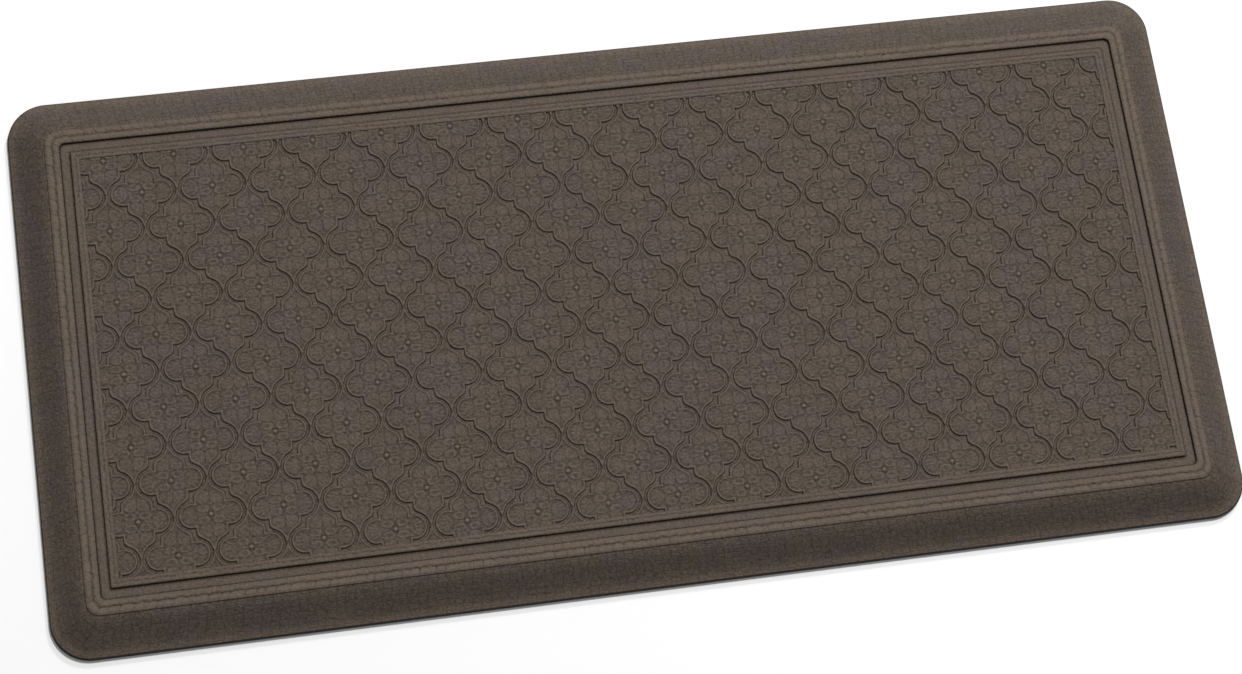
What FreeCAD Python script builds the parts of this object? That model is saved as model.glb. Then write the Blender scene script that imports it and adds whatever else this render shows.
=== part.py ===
import FreeCAD, Part
import os

# Cushioned standing mat, in millimetres. Origin at the centre of the underside, +X along the
# length, +Z up. The mat is a sandwich: a moulded top skin, a foam core and a non-slip base sheet.

# Overall size
LENGTH = 1067.0
WIDTH = 508.0
HEIGHT = 25.4

# Thicknesses of the bonded layers
SKIN_THICKNESS = 1.2
BASE_THICKNESS = 1.5
BASE_SETBACK = 1.0

# Sloped edge: a low upright foot, then a slope up to the raised border
OUTLINE_RADIUS = 35.0
FOOT_TOP_Z = 4.0
FOOT_LEAN = 0.8
SLOPE_INSET = 33.0
SLOPE_TOP_Z = 23.6
SLOPE_TOP_RADIUS = 12.0

# Raised bead round the top
BEAD_TOP_INSET = 34.5
BEAD_TOP_RADIUS = 10.5

# Recessed channel between the bead and the inner strip
CHANNEL_OUTER_INSET = 47.0
CHANNEL_OUTER_RADIUS = 5.0
CHANNEL_INNER_INSET = 55.8
CHANNEL_INNER_RADIUS = 2.0
CHANNEL_FLOOR_Z = 22.6

# Field of tiles, a shallow pocket inside the strip
FIELD_INSET = 63.6
FIELD_RADIUS = 1.5
FIELD_Z = 24.4

# How far a cutting solid runs past the face it opens
CUT_MARGIN = 2.0


def rounded_outline(inset, radius, z):
    """Closed wire: the mat's outline moved inwards by inset, with rounded corners."""
    half_x = LENGTH / 2.0 - inset
    half_y = WIDTH / 2.0 - inset
    diagonal = radius * (1.0 - 0.5 ** 0.5)
    edges = []
    start = FreeCAD.Vector(half_x, -half_y + radius, z)
    # Each corner in turn, counter-clockwise: its signs, and whether its arc ends along Y or along X
    for sign_x, sign_y in ((1, 1), (-1, 1), (-1, -1), (1, -1)):
        near_side = FreeCAD.Vector(sign_x * half_x, sign_y * (half_y - radius), z)
        near_end = FreeCAD.Vector(sign_x * (half_x - radius), sign_y * half_y, z)
        middle = FreeCAD.Vector(sign_x * (half_x - diagonal), sign_y * (half_y - diagonal), z)
        if sign_x * sign_y > 0:
            first, last = near_side, near_end
        else:
            first, last = near_end, near_side
        edges.append(Part.makeLine(start, first))
        edges.append(Part.Arc(first, middle, last).toShape())
        start = last
    return Part.Wire(edges)


def prism(inset, radius, bottom_z, top_z):
    """Upright solid on a rounded outline."""
    face = Part.Face(rounded_outline(inset, radius, bottom_z))
    return face.extrude(FreeCAD.Vector(0, 0, top_z - bottom_z))


def mat_form(shrink):
    """The moulded form above the base sheet, with its sides and top brought in by shrink."""
    sections = [
        rounded_outline(shrink, OUTLINE_RADIUS - shrink, BASE_THICKNESS),
        rounded_outline(FOOT_LEAN + shrink, OUTLINE_RADIUS - shrink, FOOT_TOP_Z - shrink),
        rounded_outline(SLOPE_INSET + shrink, SLOPE_TOP_RADIUS - shrink, SLOPE_TOP_Z - shrink),
        rounded_outline(BEAD_TOP_INSET + shrink, BEAD_TOP_RADIUS - shrink, HEIGHT - shrink),
    ]
    form = Part.makeLoft(sections, True, True)
    form = form.cut(channel(shrink))
    return form.cut(field_pocket(shrink))


def channel(shrink):
    """Cutting solid for the channel, widened and lowered by shrink."""
    floor_z = CHANNEL_FLOOR_Z - shrink
    top_z = HEIGHT + CUT_MARGIN
    outer = prism(CHANNEL_OUTER_INSET - shrink, CHANNEL_OUTER_RADIUS + shrink, floor_z, top_z)
    inner_inset = CHANNEL_INNER_INSET + shrink
    inner = prism(inner_inset, CHANNEL_INNER_RADIUS, floor_z - CUT_MARGIN, top_z + CUT_MARGIN)
    return outer.cut(inner)


def field_pocket(shrink):
    """Cutting solid for the shallow pocket that holds the field."""
    return prism(FIELD_INSET - shrink, FIELD_RADIUS + shrink, FIELD_Z - shrink, HEIGHT + CUT_MARGIN)


def top_skin():
    """Moulded sheet of even thickness that covers the top, the slope and the foot."""
    return mat_form(0.0).cut(mat_form(SKIN_THICKNESS))


def foam_core():
    """Foam that fills the skin down to the base sheet."""
    return mat_form(SKIN_THICKNESS)


def base_sheet():
    """Flat non-slip sheet bonded under the foam and the skin's edge."""
    return prism(BASE_SETBACK, OUTLINE_RADIUS - BASE_SETBACK, 0.0, BASE_THICKNESS)


def main():
    os.makedirs("parts", exist_ok=True)
    nodes = {
        "top_skin": top_skin(),
        "foam_core": foam_core(),
        "base_sheet": base_sheet(),
    }
    for name, shape in nodes.items():
        shape.exportStep(os.path.join("parts", name + ".step"))


main()
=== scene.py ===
import math

import bmesh
import bpy
import numpy as np
from mathutils import Matrix, Vector


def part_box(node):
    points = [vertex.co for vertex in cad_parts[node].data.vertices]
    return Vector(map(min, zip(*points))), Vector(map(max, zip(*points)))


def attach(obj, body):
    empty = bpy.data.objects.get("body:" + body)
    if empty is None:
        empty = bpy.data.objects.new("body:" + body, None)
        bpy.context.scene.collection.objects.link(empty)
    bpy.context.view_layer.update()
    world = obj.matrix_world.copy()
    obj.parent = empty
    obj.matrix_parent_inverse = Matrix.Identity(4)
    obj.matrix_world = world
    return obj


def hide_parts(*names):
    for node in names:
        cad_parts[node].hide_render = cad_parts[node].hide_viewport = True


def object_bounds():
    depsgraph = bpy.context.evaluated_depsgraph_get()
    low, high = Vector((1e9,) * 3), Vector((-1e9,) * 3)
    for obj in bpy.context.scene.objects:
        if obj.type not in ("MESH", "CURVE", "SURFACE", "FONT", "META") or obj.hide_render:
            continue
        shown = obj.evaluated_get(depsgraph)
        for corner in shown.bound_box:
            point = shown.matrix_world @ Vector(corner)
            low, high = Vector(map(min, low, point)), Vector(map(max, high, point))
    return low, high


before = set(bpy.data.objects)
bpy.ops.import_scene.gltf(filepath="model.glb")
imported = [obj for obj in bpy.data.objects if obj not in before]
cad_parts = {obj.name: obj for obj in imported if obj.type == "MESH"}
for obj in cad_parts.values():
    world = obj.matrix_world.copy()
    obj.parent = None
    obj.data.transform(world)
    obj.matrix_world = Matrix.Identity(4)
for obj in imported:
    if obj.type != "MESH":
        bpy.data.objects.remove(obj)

cad_low, cad_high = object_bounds()

# ---------------------------------------------------------------------------------------------
# Sizes, in millimetres. Meshes are worked out in millimetres and made in metres.
# ---------------------------------------------------------------------------------------------
MM = 0.001
LENGTH = (cad_high.x - cad_low.x) / MM
WIDTH = (cad_high.y - cad_low.y) / MM
HEIGHT = cad_high.z / MM
BASE_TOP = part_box("base_sheet")[1].z / MM
SKIN_THICKNESS = 1.2

# Border section, as distances in from the outline
SLOPE_START = 2.6
SLOPE_INSET = 33.6
BEAD_DIP_INSET = 40.5
CHANNEL_OUTER = 47.0
CHANNEL_INNER = 55.8
STRIP_DIP_INSET = 60.0
FIELD_INSET = 63.6
BEAD_WALL = 0.2
STRIP_WALL = 0.1

# Border section, as heights
FOOT_TOP = 3.6
SLOPE_START_Z = 5.9
SHOULDER = HEIGHT - 1.8
BEAD_FOOT = SHOULDER - 0.1
CHANNEL_FLOOR = HEIGHT - 2.8
FIELD_LEVEL = HEIGHT - 1.0
UNDERSIDE = HEIGHT - 4.2

# Corner radius at each distance in from the outline
RADIUS_INSETS = (0.0, 3.0, SLOPE_INSET, 46.0, CHANNEL_OUTER, CHANNEL_INNER, FIELD_INSET)
RADIUS_VALUES = (35.0, 34.0, 12.0, 5.5, 5.0, 1.2, 0.8)
OUTLINE_RADIUS = RADIUS_VALUES[0]
SLOPE_TOP_RADIUS = RADIUS_VALUES[2]

# Moulded scales of the rolls: how narrow a joint between two scales is
JOINT_WIDTH = 0.8

# Tile lattice: centres every PITCH_X along a row, rows ROW_STEP apart, every other row shifted.
# The first row and its first centre are measured from the field's far left corner.
PITCH_X = 62.1
ROW_STEP = 33.06
FIRST_ROW_DROP = 3.9
FIRST_ROW_START = 20.1
FIELD_PIECES = 10

# Outline of a tile: circular lobes left and right, joined by short uprights to concave arcs
LOBE_CENTRE = 16.4
LOBE_RADIUS = 12.25
UPRIGHT_SETBACK = 0.65
CORNER_BLEND = 5.0
NODE_BLEND = math.radians(4.5)
TIP_DEPTH = 1.45

# Section of a tile's edge by distance from the cell edge: band, wall, raised rim, hollow, flat
EDGE_DEPTHS = (0.0, 0.55, 0.90, 1.18, 1.60, 2.10, 2.60, 3.10, 3.70, 4.70)
EDGE_HEIGHTS = (-0.95, -1.00, -1.06, -0.20, 0.38, 0.66, 0.44, 0.02, -0.06, 0.0)
# Tones: the band and the rim lighter, as painted highlight and, on the rim, wear; the wall and the
# hollow inside the rim darker, as painted shade
EDGE_TONES = (0.12, 0.0, -0.60, -0.30, 0.26, 0.50, 0.36, -0.12, -0.26, 0.0)

# Flower of a tile, in its first quarter: ovals as centre x, centre y, radius x and radius y, each
# with its lines as distance out from the oval, half width, rise and tone
BOSS_RADIUS = 1.6
BOSS_RISE = 0.95
BOSS_TONE = 1.7
BOSS_HOLLOW = (2.6, 0.55, -0.34, -0.65)
SMALL_PETAL = (3.4, 2.5)
SMALL_PETAL_LINE = (0.0, 0.9, 0.28, 0.52)
INNER_PETAL = (6.4, 5.3, 4.2, 2.8)
INNER_PETAL_LINES = ((0.0, 0.6, 0.27, 0.38), (1.2, 0.6, -0.18, -0.34), (-2.2, 0.7, -0.16, -0.30))
OUTER_PETAL = (5.7, 14.9, 4.9, 5.2)
OUTER_PETAL_LINES = ((0.0, 0.65, 0.22, 0.27), (1.3, 0.6, -0.16, -0.28), (-2.4, 0.6, 0.14, 0.20))
SIDE_OVAL = (18.8, 0.0, 7.2, 7.8)
SIDE_OVAL_LINES = ((0.0, 0.6, -0.17, -0.30), (1.2, 0.6, 0.17, 0.22))
EDGE_LINE = (4.3, 0.6, -0.10, -0.18)
FAN_CENTRE_X = 8.0
FAN_HALF_ANGLE = math.radians(42)
VEIN_ANGLE = math.radians(15.0)

# Waffle of pads under the base sheet
BASE_SETBACK = 1.0
PAD_PITCH = 10.0
PAD_GROOVE = 3.0
PAD_RAMP = 0.6
PAD_DEPTH = 0.45


# ---------------------------------------------------------------------------------------------
# Mesh helpers
# ---------------------------------------------------------------------------------------------
def make_object(name, points, faces, painted_light_and_wear=None, **corner_values):
    """Object from points in millimetres.

    One number per point goes to the materials: above 0 it lightens, as wear and painted highlight on
    high spots, below 0 it darkens, as painted shade in hollows and on shaded walls.
    corner_values are named numbers per face corner.
    """
    mesh = bpy.data.meshes.new(name)
    mesh.from_pydata((np.asarray(points) * MM).tolist(), [], [tuple(f) for f in faces])
    if painted_light_and_wear is not None:
        layer = mesh.attributes.new("painted_light_and_wear", "FLOAT", "POINT")
        layer.data.foreach_set("value", np.asarray(painted_light_and_wear, dtype=np.float32))
    for key, values in corner_values.items():
        layer = mesh.attributes.new(key, "FLOAT", "CORNER")
        layer.data.foreach_set("value", np.asarray(values, dtype=np.float32))
    mesh.validate()
    obj = bpy.data.objects.new(name, mesh)
    bpy.context.scene.collection.objects.link(obj)
    return obj


def finish_piece(obj, node, material, sharp_degrees=50.0):
    """Shade a piece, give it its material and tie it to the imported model."""
    obj.data.materials.append(material)
    obj.data.polygons.foreach_set("use_smooth", [True] * len(obj.data.polygons))
    obj.data.set_sharp_from_angle(angle=math.radians(sharp_degrees))
    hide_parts(node)
    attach(obj, "root")


def smooth_noise(rng, count, step, position):
    """Periodic value noise over count cells of length step, read at each position."""
    values = rng.uniform(-1.0, 1.0, count)
    cell = position / step
    low = np.floor(cell).astype(int)
    part = cell - low
    part = part * part * (3.0 - 2.0 * part)
    return values[low % count] * (1.0 - part) + values[(low + 1) % count] * part


# ---------------------------------------------------------------------------------------------
# Border: sections swept round the outline
# ---------------------------------------------------------------------------------------------
def corner_radius(inset):
    return np.interp(inset, RADIUS_INSETS, RADIUS_VALUES)


def station_table(step, corner_stations):
    """Stations round the outline: the side (0 to 3) or corner (4 to 7) each is on, how far along
    that it is from 0 to 1, its run round the top of the slope, and the whole run."""
    kinds, parts, runs = [], [], []
    run = 0.0
    sides = (WIDTH, LENGTH, WIDTH, LENGTH)
    for side, size in enumerate(sides):
        straight = size - 2 * OUTLINE_RADIUS
        count = int(round(straight / step))
        for i in range(count):
            kinds.append(side)
            parts.append(i / count)
            runs.append(run + straight * i / count)
        run += straight
        arc = SLOPE_TOP_RADIUS * math.pi / 2
        for i in range(corner_stations):
            kinds.append(4 + side)
            parts.append(i / corner_stations)
            runs.append(run + arc * i / corner_stations)
        run += arc
    return np.array(kinds), np.array(parts), np.array(runs), run


def outline_points(kinds, parts, insets):
    """X and Y of each station at each inset, as arrays of stations by insets."""
    inset = np.asarray(insets)[None, :]
    radius = corner_radius(inset)
    half_x = LENGTH / 2 - inset
    half_y = WIDTH / 2 - inset
    x = np.zeros((len(kinds), inset.shape[1]))
    y = np.zeros_like(x)
    part = parts[:, None]
    run_x = (half_x - radius) * (2 * part - 1)
    run_y = (half_y - radius) * (2 * part - 1)
    # Sides in turn: right going up, far going left, left going down, near going right
    signs = ((1, 0), (0, 1), (-1, 0), (0, -1))
    for side, (out_x, out_y) in enumerate(signs):
        on_side = kinds == side
        if out_x:
            x[on_side] = np.broadcast_to(out_x * half_x, run_y.shape)[on_side]
            y[on_side] = (out_x * run_y)[on_side]
        else:
            x[on_side] = (-out_y * run_x)[on_side]
            y[on_side] = np.broadcast_to(out_y * half_y, run_x.shape)[on_side]
        in_corner = kinds == 4 + side
        angle = (side + part) * math.pi / 2
        centre_x = (half_x - radius) * (1 if side in (0, 3) else -1)
        centre_y = (half_y - radius) * (1 if side in (0, 1) else -1)
        x[in_corner] = (centre_x + radius * np.cos(angle))[in_corner]
        y[in_corner] = (centre_y + radius * np.sin(angle))[in_corner]
    return x, y


def scale_row(rng, run, total, pitch):
    """A row of moulded scales along a roll: depth of the joints, bulge and lift at each run."""
    count = int(total / pitch)
    joints = (np.arange(count) + rng.uniform(-0.32, 0.32, count)) * total / count
    strength = rng.uniform(0.15, 1.0, count)
    size = rng.uniform(0.5, 1.0, count)
    lift = rng.uniform(-1.0, 1.0, count)
    index = np.searchsorted(joints, run)
    before = joints[index - 1] - total * (index == 0)
    after = joints[index % count] + total * (index == count)
    part = (run - before) / (after - before)
    joint = np.maximum(
        strength[index - 1] * np.exp(-((run - before) / JOINT_WIDTH) ** 2),
        strength[index % count] * np.exp(-((after - run) / JOINT_WIDTH) ** 2))
    return joint, np.sin(math.pi * part) * size[index % count], lift[index % count]


def sweep(name, step, corner_stations, insets, section, underside, crackle):
    """Closed ring: section(run, total, insets) gives the top, underside the (inset, z) below.

    The skin material reads how far along and across the border each corner is, and how strong
    its crackle is.
    """
    kinds, parts, run, total = station_table(step, corner_stations)
    top_z, painted_light_and_wear = section(run, total, np.asarray(insets))
    x, y = outline_points(kinds, parts, insets)
    under_insets = [inset for inset, _ in underside]
    under_x, under_y = outline_points(kinds, parts, under_insets)
    under_z = np.broadcast_to([z for _, z in underside], under_x.shape)
    x = np.hstack([x, under_x])
    y = np.hstack([y, under_y])
    z = np.hstack([top_z, under_z])
    values = np.hstack([painted_light_and_wear, np.zeros_like(under_x)])
    stations, around = x.shape
    a = np.arange(stations * around).reshape(stations, around)
    b = np.roll(a, -1, axis=0)
    faces = np.stack([a, b, np.roll(b, -1, axis=1), np.roll(a, -1, axis=1)], axis=-1)
    points = np.stack([x, y, z], axis=-1).reshape(-1, 3)
    run_after = np.append(run[1:], total)
    along = np.stack([run, run_after, run_after, run], axis=-1)[:, None, :]
    along = np.broadcast_to(along, faces.shape)
    across = np.array(list(insets) + under_insets)
    across = np.stack([across, across, np.roll(across, -1), np.roll(across, -1)], axis=-1)
    across = np.broadcast_to(across[None, :, :], faces.shape)
    return make_object(
        name, points, faces.reshape(-1, 4).tolist(), values.ravel(),
        along=along.ravel(), across=across.ravel(), crackle=np.full(faces.size, crackle))


def slope_height(inset):
    """Slope that starts shallow at the foot, is steepest halfway and rounds over to the bead."""
    fine = np.linspace(SLOPE_START, SLOPE_INSET, 200)
    steepness = np.interp(fine, (SLOPE_START, 8.0, 22.0, SLOPE_INSET), (0.36, 0.72, 0.72, 0.15))
    rise = np.concatenate([[0.0], np.cumsum((steepness[1:] + steepness[:-1]) / 2 * np.diff(fine))])
    rise = rise * (BEAD_FOOT - SLOPE_START_Z) / rise[-1]
    foot_heights = (1.9, FOOT_TOP + 0.5, FOOT_TOP + 1.4, SLOPE_START_Z)
    foot = np.interp(inset, (0.0, 0.35, 1.1, SLOPE_START), foot_heights)
    return np.where(inset < SLOPE_START, foot, SLOPE_START_Z + np.interp(inset, fine, rise))


def slope_section(run, total, inset):
    """Upright foot with a rounded top edge, then the long slope up to the bead."""
    rng = np.random.RandomState(11)
    wave = smooth_noise(rng, 64, total / 64, run)[:, None] * 0.10
    fade = np.interp(inset, (3.0, 10.0, 27.0, 31.0), (0.0, 1.0, 1.0, 0.0))[None, :]
    z = slope_height(inset)[None, :] + wave * fade
    # Tone: -1 on the foot's upright face is painted shade, and the dark line where the slope meets
    # the bead is painted shade in the crease; between them the slope is lighter towards the foot and
    # the top and darker in the middle.
    tone = np.interp(
        inset,
        (0.0, 1.0, 1.8, 4.0, 7.0, 13.0, 24.0, SLOPE_INSET - 3.0, SLOPE_INSET - 0.8, SLOPE_INSET),
        (-1.0, -0.95, 0.38, 0.34, 0.12, -0.15, -0.18, -0.10, 0.14, -0.40))
    return z, np.broadcast_to(tone[None, :], z.shape)


def rolls(run, total, inset, edges, tops, dip_depth, seed, pitch, joint_depth, wear_and_highlight):
    """Two rounded rolls side by side, the outer one moulded as a row of scales."""
    rng = np.random.RandomState(seed)
    start, dip, end = edges
    wander = smooth_noise(rng, 90, total / 90, run) * 0.25
    rows = [scale_row(rng, run, total, p) for p in pitch]
    u = np.broadcast_to(inset, (len(run), len(inset)))
    dip_at = (dip - 0.55 + wander + 1.1 * rows[0][1])[:, None]
    z = np.zeros_like(u)
    painted_light_and_wear = np.zeros_like(u)
    for low, high, top, k in ((start, dip_at, tops[0], 0), (dip_at, end, tops[1], 1)):
        low = np.broadcast_to(low, u.shape)
        high = np.broadcast_to(high, u.shape)
        across = (u - low) / (high - low)
        inside = (across >= 0) & (across <= 1)
        crown = np.sqrt(np.clip(1 - (2 * across - 1) ** 2, 0, 1))
        joint, _, lift = (row[:, None] for row in rows[k])
        height = top - dip_depth * (1 - crown) + (0.10 * lift - joint_depth[k] * joint) * crown
        z = np.where(inside, height, z)
        # Lighter on each roll's crown and on raised scales, as wear and painted highlight; darker
        # towards the roll's edges, as painted shade in the dip between rolls
        tone = wear_and_highlight * crown ** 2 + 0.10 * lift - 0.40 * (1 - crown) ** 2
        tone = tone - 1.1 * joint_depth[k] * joint
        painted_light_and_wear = np.where(inside, tone, painted_light_and_wear)
    return z, painted_light_and_wear


def bead_section(run, total, inset):
    """Raised bead of two rolls, and the wall down from it into the channel, painted dark as shade.
    """
    end = CHANNEL_OUTER - BEAD_WALL
    z, painted_light_and_wear = rolls(
        run, total, inset, edges=(SLOPE_INSET, BEAD_DIP_INSET, end), tops=(HEIGHT - 0.25, HEIGHT),
        dip_depth=0.95, seed=21, pitch=(10.5, 17.0), joint_depth=(0.42, 0.22), wear_and_highlight=0.62)
    z[:, 0] = BEAD_FOOT
    # Dark line at the bead's foot: painted shade in the crease
    painted_light_and_wear[:, 0] = -0.55
    wall = inset >= end
    z[:, wall] = np.interp(inset[wall], (end, CHANNEL_OUTER), (HEIGHT - 0.9, CHANNEL_FLOOR - 0.3))
    # Wall painted dark: painted shade
    painted_light_and_wear[:, wall] = -0.9
    return z, painted_light_and_wear


def strip_section(run, total, inset):
    """Channel floor, the double strip inside it, and the wall down from that to the field."""
    start, end = CHANNEL_INNER + STRIP_WALL, FIELD_INSET - STRIP_WALL
    z, painted_light_and_wear = rolls(
        run, total, inset, edges=(start, STRIP_DIP_INSET, end), tops=(HEIGHT - 0.1, HEIGHT - 0.15),
        dip_depth=0.6, seed=31, pitch=(14.0, 19.0), joint_depth=(0.16, 0.16), wear_and_highlight=0.38)
    floor = inset < CHANNEL_INNER
    rng = np.random.RandomState(32)
    ripple = smooth_noise(rng, 300, total / 300, run)[:, None] * 0.03
    z[:, floor] = CHANNEL_FLOOR + ripple
    # Channel floor darkest next to the bead's wall, a painted shadow of that wall, and lighter
    # further in
    painted_light_and_wear[:, floor] = np.interp(
        inset[floor], (CHANNEL_OUTER, CHANNEL_OUTER + 0.5, CHANNEL_OUTER + 1.5), (-0.9, -0.35, 0.28))
    foot = (inset >= CHANNEL_INNER) & (inset < start)
    z[:, foot] = CHANNEL_FLOOR
    # Foot of the strip's outer wall painted dark: painted shade
    painted_light_and_wear[:, foot] = -0.9
    wall = inset >= end
    z[:, wall] = np.interp(inset[wall], (end, FIELD_INSET), (HEIGHT - 0.7, FIELD_LEVEL - 1.1))
    # Wall down to the field a little darker: painted shade
    painted_light_and_wear[:, wall] = -0.3
    return z, painted_light_and_wear


def span(low, high, step):
    """Evenly spaced values from low up to but not including high."""
    return np.linspace(low, high, max(2, int(round((high - low) / step)) + 1))[:-1].tolist()


def build_border(material):
    """Slope, bead, and channel with strip, as three closed rings that meet face to face."""
    slope_insets = [0.0, 0.15, 0.35, 0.7, 1.0, 1.4, 1.8, SLOPE_START, 4.0] + span(5.5, 32.0, 1.6)
    slope_insets += [32.0, 32.5, SLOPE_INSET]
    slope_under = [(SLOPE_INSET, UNDERSIDE), (31.0, UNDERSIDE), (3.5, FOOT_TOP)]
    slope_under += [(SKIN_THICKNESS, BASE_TOP), (0.3, BASE_TOP), (0.1, 1.7)]
    slope = sweep("skin_slope", 2.0, 20, slope_insets, slope_section, slope_under, 1.0)

    bead_end = CHANNEL_OUTER - BEAD_WALL
    bead_insets = [SLOPE_INSET] + span(SLOPE_INSET + 0.35, bead_end, 0.62)
    bead_insets += [bead_end, CHANNEL_OUTER]
    bead_under = [(CHANNEL_OUTER, UNDERSIDE), (SLOPE_INSET, UNDERSIDE)]
    bead = sweep("skin_bead", 0.95, 14, bead_insets, bead_section, bead_under, 0.5)

    strip_end = FIELD_INSET - STRIP_WALL
    strip_insets = [CHANNEL_OUTER, CHANNEL_OUTER + 0.5]
    strip_insets += span(CHANNEL_OUTER + 1.5, CHANNEL_INNER, 2.4) + [CHANNEL_INNER]
    strip_insets += span(CHANNEL_INNER + STRIP_WALL, strip_end, 0.55) + [strip_end, FIELD_INSET]
    strip_under = [(FIELD_INSET, UNDERSIDE), (CHANNEL_OUTER, UNDERSIDE)]
    strip = sweep("skin_channel_and_strip", 0.95, 8, strip_insets, strip_section, strip_under, 0.25)
    for piece in (slope, bead, strip):
        finish_piece(piece, "top_skin", material)


# ---------------------------------------------------------------------------------------------
# Field of tiles
# ---------------------------------------------------------------------------------------------
def cell_edge(count):
    """Shared edge of two diagonal tiles, from the side node up to the top node of a tile.

    It follows the lobe, a short upright and the neighbour's lobe, and it is the same when turned
    half a turn about its middle, so both tiles get the same points.
    """
    middle_x = PITCH_X / 4
    middle_y = ROW_STEP / 2
    last_angle = math.acos((middle_x - LOBE_CENTRE) / LOBE_RADIUS)
    steps = 400
    angle = np.linspace(0.0, last_angle, steps)
    grow = PITCH_X / 2 - LOBE_CENTRE - LOBE_RADIUS
    radius = LOBE_RADIUS + grow * np.clip(1 - angle / NODE_BLEND, 0, 1)
    arc = np.stack([LOBE_CENTRE + radius * np.cos(angle), radius * np.sin(angle)], axis=-1)
    turned = np.array([2 * middle_x, 2 * middle_y]) - arc[::-1]
    line = np.concatenate([arc, turned])
    along = np.concatenate([[0.0], np.cumsum(np.linalg.norm(np.diff(line, axis=0), axis=1))])
    at = np.linspace(0.0, along[-1], count + 1)
    return np.stack([np.interp(at, along, line[:, k]) for k in range(2)], axis=-1)


def tile_depth(points):
    """How far inside a tile's edge each point of its first quarter is, 0 at the cell edge.

    A tile is its round side lobe joined with a middle part that reaches to the uprights and to
    the lobe of the next row's tile. The middle part's outer corner is rounded.
    """
    x, y = points[:, 0], points[:, 1]
    in_lobe = LOBE_RADIUS - np.hypot(x - LOBE_CENTRE, y)
    in_upright = PITCH_X / 4 - UPRIGHT_SETBACK - x
    from_neighbour = np.hypot(x - PITCH_X / 2 + LOBE_CENTRE, y - ROW_STEP) - LOBE_RADIUS
    share = np.clip(0.5 + 0.5 * (from_neighbour - in_upright) / CORNER_BLEND, 0, 1)
    middle = from_neighbour * (1 - share) + in_upright * share - CORNER_BLEND * share * (1 - share)
    middle = np.minimum(middle, ROW_STEP - y + TIP_DEPTH)
    return np.clip(np.maximum(in_lobe, middle), 0.0, None)


def near_line(distance, half_width):
    """1 on a line, falling smoothly to nearly 0 at twice half_width."""
    return np.exp(-(distance / half_width) ** 2)


def ellipse_gap(x, y, centre_x, centre_y, radius_x, radius_y):
    """About how far outside an ellipse a point is, below 0 inside it."""
    reach = np.hypot((x - centre_x) / radius_x, (y - centre_y) / radius_y)
    return (reach - 1.0) * min(radius_x, radius_y)


def between(value, start, rise, end, fall):
    """1 between start and end, fading in over rise after start and out over fall before end."""
    return np.clip((value - start) / rise, 0, 1) * np.clip((end - value) / fall, 0, 1)


def tile_motif(x, y, depth):
    """Height and tone of the flower pressed into a tile, at points of its first quarter. Tone
    follows height: the boss and raised lines lighter, as wear and painted highlight, sunk lines
    darker, as painted shade.
    """
    height = np.zeros_like(x)
    tone = np.zeros_like(x)
    centre = np.hypot(x, y)

    def add(amount, rise, colour):
        nonlocal height, tone
        height = height + rise * amount
        tone = tone + colour * amount

    def add_line(gap, line):
        distance, half_width, rise, colour = line
        add(near_line(gap - distance, half_width), rise, colour)

    def add_oval(oval, lines):
        gap = ellipse_gap(x, y, *oval)
        for line in lines:
            add_line(gap, line)

    # Centre boss in a round hollow, a small petal on each diagonal and an oval outside that
    add(np.sqrt(np.clip(1 - (centre / BOSS_RADIUS) ** 2, 0, 1)), BOSS_RISE, BOSS_TONE)
    add_line(centre, BOSS_HOLLOW)
    add_line(np.hypot(x - SMALL_PETAL[0], y - SMALL_PETAL[1]), SMALL_PETAL_LINE)
    add_oval(INNER_PETAL, INNER_PETAL_LINES)

    # Pair of round petals in the top and bottom lobes, with a crease between them
    add_oval(OUTER_PETAL, OUTER_PETAL_LINES)
    add(near_line(x, 0.7) * between(y, 10.0, 2.0, 26.0, 2.0), -0.18, -0.28)

    # Fan of veins in the side lobes, and the line that closes the fan
    angle = np.arctan2(y, x - FAN_CENTRE_X)
    reach = np.hypot(x - FAN_CENTRE_X, y)
    fan = between(reach, 7.0, 3.0, 17.5, 2.0) * np.clip((FAN_HALF_ANGLE - np.abs(angle)) / 0.1, 0, 1)
    add(np.cos(angle * 2 * math.pi / VEIN_ANGLE) * fan, 0.12, 0.28)
    add_oval(SIDE_OVAL, SIDE_OVAL_LINES)

    # Thin line that follows the tile's edge
    add_line(depth, EDGE_LINE)
    return height, tone


def edge_rings(line, grid, samples):
    """Where each ray, as a fraction of its length, is at each fixed depth from the tile's edge."""
    depth = tile_depth(grid.reshape(-1, 2)).reshape(len(line), len(samples))
    rings = [np.ones(len(line))]
    for wanted in EDGE_DEPTHS[1:]:
        ring = []
        for ray in depth:
            # The first place that deep, coming in from the edge
            deep = np.nonzero(ray >= wanted)[0]
            k = deep[-1] if len(deep) else 0
            k_next = min(k + 1, len(samples) - 1)
            part = (ray[k] - wanted) / max(ray[k] - ray[k_next], 1e-9)
            ring.append(samples[k] + np.clip(part, 0, 1) * (samples[k_next] - samples[k]))
        rings.append(np.array(ring))
    return rings


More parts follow.
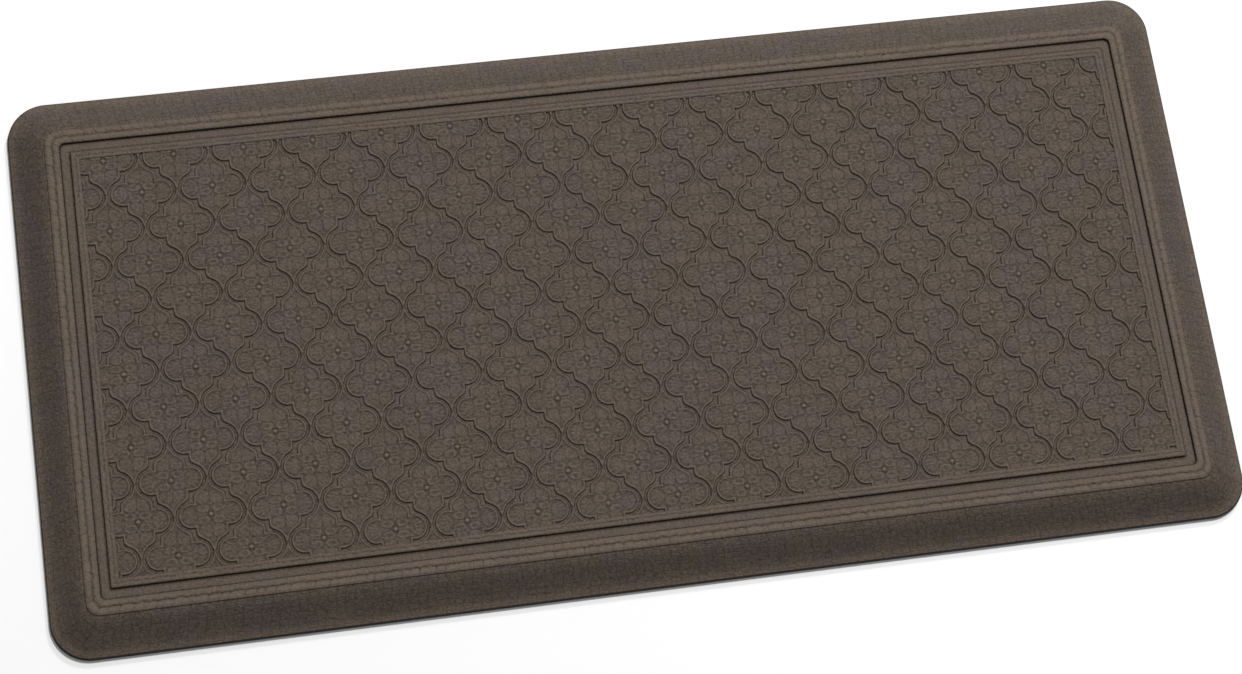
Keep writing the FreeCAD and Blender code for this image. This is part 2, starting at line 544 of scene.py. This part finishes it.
def tile_quarter(rays, inner_rings):
    """Points, heights and tones of a quarter of a tile: rays from the centre, rings across them."""
    line = cell_edge(rays)
    samples = np.linspace(0.0, 1.0, 241)
    grid = line[:, None, :] * samples[None, :, None]
    fractions = edge_rings(line, grid, samples)
    deepest = fractions[-1]
    inner = np.linspace(1.0, 0.0, inner_rings + 1)[1:-1]
    # The inner rings close in on a circle of 1 mm radius round the centre
    small = 1.0 / np.linalg.norm(line, axis=1)
    for part in inner:
        fractions.append(small + (deepest - small) * part)
    fractions.append(small)
    fractions = np.stack(fractions, axis=1)
    # No ring touches the one outside it
    for ring in range(1, fractions.shape[1]):
        fractions[:, ring] = np.minimum(fractions[:, ring], fractions[:, ring - 1] - 0.0015)
    points = line[:, None, :] * fractions[:, :, None]
    flat = points.reshape(-1, 2)
    depth = tile_depth(flat)
    # On the cell edge the neighbour's shape counts too, so both tiles meet at one height
    on_edge = np.arange(len(line)) * points.shape[1]
    turned = np.array([PITCH_X / 2, ROW_STEP]) - flat[on_edge]
    depth[on_edge] = np.maximum(depth[on_edge], tile_depth(turned))
    height = np.interp(depth, EDGE_DEPTHS, EDGE_HEIGHTS)
    tone = np.interp(depth, EDGE_DEPTHS, EDGE_TONES)
    motif_height, motif_tone = tile_motif(flat[:, 0], flat[:, 1], depth)
    clear = np.clip((depth - 3.0) / 0.8, 0, 1)
    height = height + motif_height * clear
    tone = tone + motif_tone * clear
    shape = points.shape[:2]
    return points, height.reshape(shape), tone.reshape(shape)


def whole_tile(rays, inner_rings):
    """One tile: its points with the centre last, heights, tones, four-sided faces and the
    triangles round the centre."""
    points, height, tone = tile_quarter(rays, inner_rings)
    quarters = []
    for sign_x, sign_y, turned in ((1, 1, False), (-1, 1, True), (-1, -1, False), (1, -1, True)):
        p = points * (sign_x, sign_y)
        block = [p, height, tone]
        if turned:
            block = [b[::-1] for b in block]
        quarters.append([b[:-1] for b in block])
    p, h, t = (np.concatenate([q[k] for q in quarters]) for k in range(3))
    rays_all, rings = h.shape
    index = np.arange(rays_all * rings).reshape(rays_all, rings)
    after = np.roll(index, -1, axis=0)
    faces = np.stack([index[:, 1:], index[:, :-1], after[:, :-1], after[:, 1:]], axis=-1)
    centre = rays_all * rings
    fans = [(centre, index[i, -1], after[i, -1]) for i in range(rays_all)]
    xy = np.concatenate([p.reshape(-1, 2), [[0.0, 0.0]]])
    boss_top = h[:, -1].mean() + 0.25
    # Boss top lighter: painted highlight and wear
    boss_tone = 1.1
    heights = np.append(h.ravel(), boss_top)
    tones = np.append(t.ravel(), boss_tone)
    return xy, heights, tones, faces.reshape(-1, 4), fans


def tile_centres():
    """Centres of all tiles that reach into the field."""
    half_x = LENGTH / 2 - FIELD_INSET
    half_y = WIDTH / 2 - FIELD_INSET
    centres = []
    rows = int(2 * half_y / ROW_STEP) + 3
    for row in range(-1, rows):
        y = half_y - FIRST_ROW_DROP - row * ROW_STEP
        start = -half_x + FIRST_ROW_START + (PITCH_X / 2 if row % 2 else 0.0)
        for column in range(-2, int(2 * half_x / PITCH_X) + 3):
            x = start + column * PITCH_X
            if abs(x) < half_x + PITCH_X / 2 and abs(y) < half_y + ROW_STEP:
                centres.append((x, y))
    return centres


def cut_off_beyond(bm, place, direction):
    """Cut the mesh at a plane and drop what lies beyond it."""
    whole = bm.verts[:] + bm.edges[:] + bm.faces[:]
    bmesh.ops.bisect_plane(
        bm, geom=whole, plane_co=place, plane_no=direction, clear_outer=True, dist=1e-6)


def close_with_walls(bm, z):
    """Close an open sheet: walls from its rim to height z, and a flat face across them."""
    rim = [e for e in bm.edges if len(e.link_faces) == 1]
    made = bmesh.ops.extrude_edge_only(bm, edges=rim)["geom"]
    for v in made:
        if isinstance(v, bmesh.types.BMVert):
            v.co.z = z * MM
    far_edges = [e for e in made if isinstance(e, bmesh.types.BMEdge) and len(e.link_faces) == 1]
    bmesh.ops.holes_fill(bm, edges=far_edges, sides=0)
    bmesh.ops.recalc_face_normals(bm, faces=bm.faces[:])


def clip_and_close(obj, half_x, half_y, floor_z):
    """Cut a field piece at the edge of the field, and give it side walls and a flat underside."""
    bm = bmesh.new()
    bm.from_mesh(obj.data)
    for direction in ((1, 0, 0), (-1, 0, 0), (0, 1, 0), (0, -1, 0)):
        limit = half_x if direction[0] else half_y
        cut_off_beyond(bm, Vector(direction) * limit * MM, direction)
    loose = [v for v in bm.verts if not v.link_faces]
    bmesh.ops.delete(bm, geom=loose, context="VERTS")
    close_with_walls(bm, floor_z)
    bm.to_mesh(obj.data)
    bm.free()


def build_field(material):
    """All the tiles, in FIELD_PIECES closed pieces side by side from left to right."""
    rays, inner_rings = ((31, 24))
    xy, height, tone, quads, fans = whole_tile(rays, inner_rings)
    half_x = LENGTH / 2 - FIELD_INSET + STRIP_WALL
    half_y = WIDTH / 2 - FIELD_INSET + STRIP_WALL
    groups = [[] for _ in range(FIELD_PIECES)]
    for x, y in sorted(tile_centres()):
        place = int((x + half_x) / (2 * half_x) * FIELD_PIECES)
        groups[min(max(place, 0), FIELD_PIECES - 1)].append((x, y))
    for number, group in enumerate(groups):
        points, values, faces = [], [], []
        for x, y in group:
            first = len(points) * len(xy)
            z = FIELD_LEVEL + height
            points.append(np.column_stack([xy[:, 0] + x, xy[:, 1] + y, z]))
            values.append(tone)
            faces.append((quads + first).tolist() + [tuple(i + first for i in fan) for fan in fans])
        points = np.concatenate(points)
        values = np.concatenate(values)
        # Tiles share the points on their common edges
        keys = np.round(points[:, :2] * 1000).astype(np.int64)
        _, first_at, merged = np.unique(keys, axis=0, return_index=True, return_inverse=True)
        merged = merged.ravel()
        faces = [tuple(merged[list(f)].tolist()) for block in faces for f in block]
        name = "skin_field_%d" % (number + 1)
        piece = make_object(name, points[first_at], faces, values[first_at])
        clip_and_close(piece, half_x, half_y, UNDERSIDE)
        finish_piece(piece, "top_skin", material, 60.0)


# ---------------------------------------------------------------------------------------------
# Foam core and base sheet
# ---------------------------------------------------------------------------------------------
def build_foam(material):
    """Closed foam block that fills the skin, with a softly rounded top edge."""
    kinds, parts, run, total = station_table(12.0, 8)
    foot_inset = 4.2
    insets = (1.4, 1.6, foot_inset, 12.0, 21.0, 29.0, 32.0, 40.0, 60.0)
    steepness = (UNDERSIDE - 4.0) / 27.5
    on_slope = [FOOT_TOP + steepness * (inset - foot_inset) for inset in insets[2:6]]
    heights = [BASE_TOP, 2.2] + on_slope + [UNDERSIDE - 0.3, UNDERSIDE, UNDERSIDE]
    x, y = outline_points(kinds, parts, insets)
    rng = np.random.RandomState(41)
    wave = smooth_noise(rng, 60, total / 60, run)[:, None] * 0.12
    fade = np.array([0, 0, 0.5, 1, 1, 0.5, 0, 0, 0])[None, :]
    z = np.array(heights)[None, :] - np.abs(wave) * fade
    stations, around = x.shape
    index = np.arange(stations * around).reshape(stations, around)
    after = np.roll(index, -1, axis=0)
    faces = np.stack([index[:, :-1], after[:, :-1], after[:, 1:], index[:, 1:]], axis=-1)
    faces = faces.reshape(-1, 4).tolist()
    faces.append(index[::-1, 0].tolist())
    faces.append(index[:, -1].tolist())
    foam = make_object("foam_cushion", np.stack([x, y, z], axis=-1).reshape(-1, 3), faces)
    finish_piece(foam, "foam_core", material)


def pad_lines(half):
    """Grid lines across the base sheet: its two ends and both sides of each groove's ramps."""
    count = int(half / PAD_PITCH)
    start = -(count + 0.5) * PAD_PITCH
    offsets = (0, PAD_RAMP, PAD_GROOVE - PAD_RAMP, PAD_GROOVE)
    values = [start + k * PAD_PITCH + offset for k in range(2 * count + 1) for offset in offsets]
    values = [v for v in values if abs(v) < half - 0.5]
    return np.array([-half] + values + [half])


def in_groove(values):
    """Whether each place lies at the bottom of a groove between pads."""
    place = (values / PAD_PITCH + 0.5) % 1.0 * PAD_PITCH
    return (place > PAD_RAMP / 2) & (place < PAD_GROOVE - PAD_RAMP / 2)


def round_corners_and_close(obj, half_x, half_y, radius, top_z):
    """Trim the sheet's corners with short straight cuts round each arc, and close its top."""
    bm = bmesh.new()
    bm.from_mesh(obj.data)
    cuts = 10
    for sign_x in (-1, 1):
        for sign_y in (-1, 1):
            centre = Vector((sign_x * (half_x - radius), sign_y * (half_y - radius), 0)) * MM
            for i in range(cuts):
                angle = (i + 0.5) / cuts * math.pi / 2
                away = Vector((sign_x * math.cos(angle), sign_y * math.sin(angle), 0))
                cut_off_beyond(bm, centre + away * radius * MM, away)
    close_with_walls(bm, top_z)
    bm.to_mesh(obj.data)
    bm.free()


def build_base(material):
    """Backing sheet with a moulded waffle of low square pads, cut to the rounded outline."""
    half_x = LENGTH / 2 - BASE_SETBACK
    half_y = WIDTH / 2 - BASE_SETBACK
    grid_x, grid_y = np.meshgrid(pad_lines(half_x), pad_lines(half_y), indexing="ij")
    recessed = in_groove(grid_x) | in_groove(grid_y)
    z = np.where(recessed, PAD_DEPTH, 0.0)
    index = np.arange(z.size).reshape(z.shape)
    faces = np.stack([index[:-1, :-1], index[:-1, 1:], index[1:, 1:], index[1:, :-1]], axis=-1)
    points = np.stack([grid_x, grid_y, z], axis=-1).reshape(-1, 3)
    # Grooves get a dark value: painted shade in the grooves
    tone = np.where(recessed, -0.5, 0.1).ravel()
    base = make_object("base_grip", points, faces.reshape(-1, 4).tolist(), tone)
    round_corners_and_close(base, half_x, half_y, OUTLINE_RADIUS - BASE_SETBACK, BASE_TOP)
    finish_piece(base, "base_sheet", material, 35.0)


# ---------------------------------------------------------------------------------------------
# Materials
# ---------------------------------------------------------------------------------------------
def from_srgb(r, g, b):
    """Linear colour from 0 to 255 display values."""
    def linear(v):
        v = v / 255.0
        return v / 12.92 if v <= 0.04045 else ((v + 0.055) / 1.055) ** 2.4
    return (linear(r), linear(g), linear(b), 1.0)


class Nodes:
    """Short way to build one material's node tree. Textures are read in the object's own space."""

    def __init__(self, name):
        self.material = bpy.data.materials.new(name)
        self.material.use_nodes = True
        self.tree = self.material.node_tree
        self.shader = self.tree.nodes["Principled BSDF"]
        self.place = self.add("ShaderNodeTexCoord").outputs["Object"]

    def add(self, kind, **settings):
        node = self.tree.nodes.new(kind)
        for key, value in settings.items():
            setattr(node, key, value)
        return node

    def feed(self, node, name, source):
        """Set an input, or link it to another node's output."""
        if isinstance(source, bpy.types.NodeSocket):
            self.tree.links.new(source, node.inputs[name])
        else:
            node.inputs[name].default_value = source

    def noise(self, scale, detail=3.0, roughness=0.55):
        node = self.add("ShaderNodeTexNoise")
        self.feed(node, "Vector", self.place)
        node.inputs["Scale"].default_value = scale
        node.inputs["Detail"].default_value = detail
        node.inputs["Roughness"].default_value = roughness
        return node.outputs["Fac"]

    def cells(self, scale, feature="DISTANCE_TO_EDGE"):
        node = self.add("ShaderNodeTexVoronoi", feature=feature)
        self.feed(node, "Vector", self.place)
        node.inputs["Scale"].default_value = scale
        return node.outputs["Distance"]

    def math(self, operation, first, second):
        node = self.add("ShaderNodeMath", operation=operation)
        self.feed(node, 0, first)
        self.feed(node, 1, second)
        return node.outputs[0]

    def ramp(self, value, low, high, to_low=0.0, to_high=1.0):
        """Straight line from to_low at low to to_high at high, level beyond them."""
        node = self.add("ShaderNodeMapRange", clamp=True)
        self.feed(node, "Value", value)
        node.inputs["From Min"].default_value = low
        node.inputs["From Max"].default_value = high
        node.inputs["To Min"].default_value = to_low
        node.inputs["To Max"].default_value = to_high
        return node.outputs["Result"]

    def mix(self, factor, first, second):
        node = self.add("ShaderNodeMix", data_type="RGBA")
        self.feed(node, 0, factor)
        self.feed(node, 6, first)
        self.feed(node, 7, second)
        return node.outputs[2]

    def attribute(self, name):
        return self.add("ShaderNodeAttribute", attribute_name=name).outputs["Fac"]

    def bump(self, height, distance, strength=1.0, normal=None):
        node = self.add("ShaderNodeBump")
        self.feed(node, "Height", height)
        node.inputs["Distance"].default_value = distance
        node.inputs["Strength"].default_value = strength
        if normal is not None:
            self.feed(node, "Normal", normal)
        return node.outputs["Normal"]


# Colours of the skin: its two base tones, the dark of creases and cracks (painted shade in the
# creases), and the light of high lines (wear and painted highlight)
SKIN_BROWN = from_srgb(83, 72, 62)
SKIN_PLUM = from_srgb(82, 71, 66)
SKIN_DARK = from_srgb(17, 13, 10)
SKIN_WORN_AND_HIGHLIT = from_srgb(110, 97, 84)

# Blocks of the border's crackle, in millimetres along and across it
CRACKLE_LENGTH = 8.0
CRACKLE_WIDTH = 4.6

FOAM_DARK = from_srgb(38, 36, 34)
FOAM_LIGHT = from_srgb(74, 71, 67)
BASE_DARK = from_srgb(44, 42, 41)
BASE_DUSTY = from_srgb(66, 63, 60)
BASE_GROOVE = from_srgb(22, 21, 20)


def skin_material():
    """Antiqued polyurethane: mottled brown, darker in the creases and on shaded walls as painted
    shade, and lighter on high lines as wear and painted highlight.
    """
    n = Nodes("antiqued_polyurethane_painted_light")

    # Plum patches on brown, with soft clouds and fine specks of lighter and darker
    patches = n.ramp(n.noise(24.0, 2.0, 0.5), 0.52, 0.60)
    base = n.mix(patches, SKIN_BROWN, SKIN_PLUM)
    cloud = n.ramp(n.noise(60.0, 4.0, 0.6), 0.3, 0.7, 0.90, 1.10)
    speck = n.ramp(n.noise(400.0, 4.0, 0.65), 0.3, 0.7, 0.56, 1.44)
    shade = n.math("MULTIPLY", cloud, speck)
    toned = n.add("ShaderNodeVectorMath", operation="SCALE")
    n.feed(toned, 0, base)
    n.feed(toned, "Scale", shade)

    # Lighter on high lines, as wear and painted highlight, and darker in the creases and on shaded
    # walls, as painted shade
    painted_light_and_wear = n.attribute("painted_light_and_wear")
    worn_and_highlit = n.mix(n.ramp(painted_light_and_wear, 0.0, 1.0), toned.outputs[0], SKIN_WORN_AND_HIGHLIT)
    dark = n.mix(n.ramp(painted_light_and_wear, 0.0, -1.0, 0.0, 0.92), worn_and_highlit, SKIN_DARK)

    # Blocky crackle that runs along and across the border
    place = n.add("ShaderNodeCombineXYZ")
    n.feed(place, "X", n.math("DIVIDE", n.attribute("along"), CRACKLE_LENGTH))
    n.feed(place, "Y", n.math("DIVIDE", n.attribute("across"), CRACKLE_WIDTH))
    blocks = n.add("ShaderNodeTexVoronoi", feature="DISTANCE_TO_EDGE")
    n.feed(blocks, "Vector", place.outputs["Vector"])
    blocks.inputs["Scale"].default_value = 1.0
    blocks.inputs["Randomness"].default_value = 0.4
    line = n.ramp(blocks.outputs["Distance"], 0.0, 0.10, 1.0, 0.0)
    line = n.math("MULTIPLY", line, n.attribute("crackle"))
    creased = n.mix(n.math("MULTIPLY", line, 0.27), dark, SKIN_DARK)

    # Leather grain of small bumps and finer pebbles, and the crackle pressed in
    pebbles = n.ramp(n.cells(430.0), 0.0, 0.16)
    n.feed(n.shader, "Base Color", creased)
    n.feed(n.shader, "Roughness", n.ramp(n.noise(260.0, 3.0), 0.3, 0.7, 0.54, 0.68))
    normal = n.bump(n.noise(420.0, 4.0, 0.65), 0.0014, 0.9)
    normal = n.bump(pebbles, 0.00012, 0.7, normal)
    normal = n.bump(n.math("MULTIPLY", line, -1.0), 0.0003, 0.8, normal)
    n.feed(n.shader, "Normal", normal)
    n.shader.inputs["Specular IOR Level"].default_value = 0.20
    return n.material


def foam_material():
    """Charcoal foam with fine open pores."""
    n = Nodes("open_foam")
    pores = n.cells(650.0, "F1")
    # Pore centres darker: painted shade inside the pores
    n.feed(n.shader, "Base Color", n.mix(n.ramp(pores, 0.1, 0.5), FOAM_DARK, FOAM_LIGHT))
    n.feed(n.shader, "Roughness", n.ramp(n.noise(300.0), 0.3, 0.7, 0.85, 0.98))
    n.feed(n.shader, "Normal", n.bump(pores, 0.0004, 0.8))
    return n.material


def base_material():
    """Matt dark rubbery backing, a little dusty on its pads, with painted shade in its grooves."""
    n = Nodes("grip_backing")
    dust = n.ramp(n.noise(60.0, 5.0, 0.65), 0.4, 0.7)
    tone = n.mix(dust, BASE_DARK, BASE_DUSTY)
    # Grooves darker: painted shade
    tone = n.mix(n.ramp(n.attribute("painted_light_and_wear"), 0.0, -0.5, 0.0, 0.6), tone, BASE_GROOVE)
    n.feed(n.shader, "Base Color", tone)
    n.feed(n.shader, "Roughness", n.ramp(n.noise(200.0), 0.3, 0.7, 0.7, 0.9))
    n.feed(n.shader, "Normal", n.bump(n.noise(1400.0, 3.0), 0.0002, 0.6))
    return n.material


# ---------------------------------------------------------------------------------------------
# Floor, light and camera
# ---------------------------------------------------------------------------------------------
def build_floor():
    """Wide pale floor just under the mat."""
    mesh = bpy.data.meshes.new("floor")
    size = 12.0
    level = cad_low.z - 0.0002
    corners = ((-size, -size), (size, -size), (size, size), (-size, size))
    mesh.from_pydata([(x, y, level) for x, y in corners], [], [(0, 1, 2, 3)])
    floor = bpy.data.objects.new("floor", mesh)
    bpy.context.scene.collection.objects.link(floor)
    n = Nodes("studio_floor")
    n.shader.inputs["Base Color"].default_value = (0.93, 0.93, 0.93, 1.0)
    n.shader.inputs["Roughness"].default_value = 0.9
    n.shader.inputs["Specular IOR Level"].default_value = 0.1
    floor.data.materials.append(n.material)


def area_light(name, place, size, power):
    """Round lamp that points at the middle of the mat."""
    light = bpy.data.lights.new(name, "AREA")
    light.shape = "DISK"
    light.size = size
    light.energy = power
    obj = bpy.data.objects.new(name, light)
    obj.location = place
    obj.rotation_euler = Vector(place).to_track_quat("Z", "Y").to_euler()
    bpy.context.scene.collection.objects.link(obj)


def build_lights():
    """Key light from the far right, a lower one behind it, and an even white surrounding."""
    area_light("key", place=(1.44, 2.25, 5.36), size=0.8, power=252.0)
    area_light("rim", place=(2.4, 4.3, 3.4), size=0.7, power=118.0)
    world = bpy.data.worlds.new("studio")
    world.use_nodes = True
    world.node_tree.nodes["Background"].inputs["Color"].default_value = (1, 1, 1, 1)
    world.node_tree.nodes["Background"].inputs["Strength"].default_value = 0.31
    bpy.context.scene.world = world
    bpy.context.scene.view_settings.view_transform = "Standard"


CAMERA_TARGET = Vector((-0.0131, -0.0290, 0.0254))
CAMERA_DISTANCE = 2.3035
CAMERA_AZIMUTH = math.radians(-26.64)
CAMERA_ELEVATION = math.radians(72.74)
CAMERA_ROLL = math.radians(19.11)
CAMERA_LENS = 75.0


def build_camera():
    """Camera at CAMERA_DISTANCE from CAMERA_TARGET, turned about its own axis by CAMERA_ROLL."""
    data = bpy.data.cameras.new("camera")
    data.sensor_width = 36.0
    data.lens = CAMERA_LENS
    flat = math.cos(CAMERA_ELEVATION)
    back = Vector((
        math.sin(CAMERA_AZIMUTH) * flat,
        -math.cos(CAMERA_AZIMUTH) * flat,
        math.sin(CAMERA_ELEVATION),
    ))
    level = Vector((math.cos(CAMERA_AZIMUTH), math.sin(CAMERA_AZIMUTH), 0.0))
    up = back.cross(level)
    right = level * math.cos(CAMERA_ROLL) + up * math.sin(CAMERA_ROLL)
    up = back.cross(right)
    camera = bpy.data.objects.new("camera", data)
    turn = Matrix((right, up, back)).transposed().to_4x4()
    camera.matrix_world = Matrix.Translation(CAMERA_TARGET + back * CAMERA_DISTANCE) @ turn
    bpy.context.scene.collection.objects.link(camera)
    bpy.context.scene.camera = camera


# ---------------------------------------------------------------------------------------------
# The whole scene
# ---------------------------------------------------------------------------------------------
skin = skin_material()
build_border(skin)
build_field(skin)
build_foam(foam_material())
build_base(base_material())
build_floor()
build_lights()
build_camera()
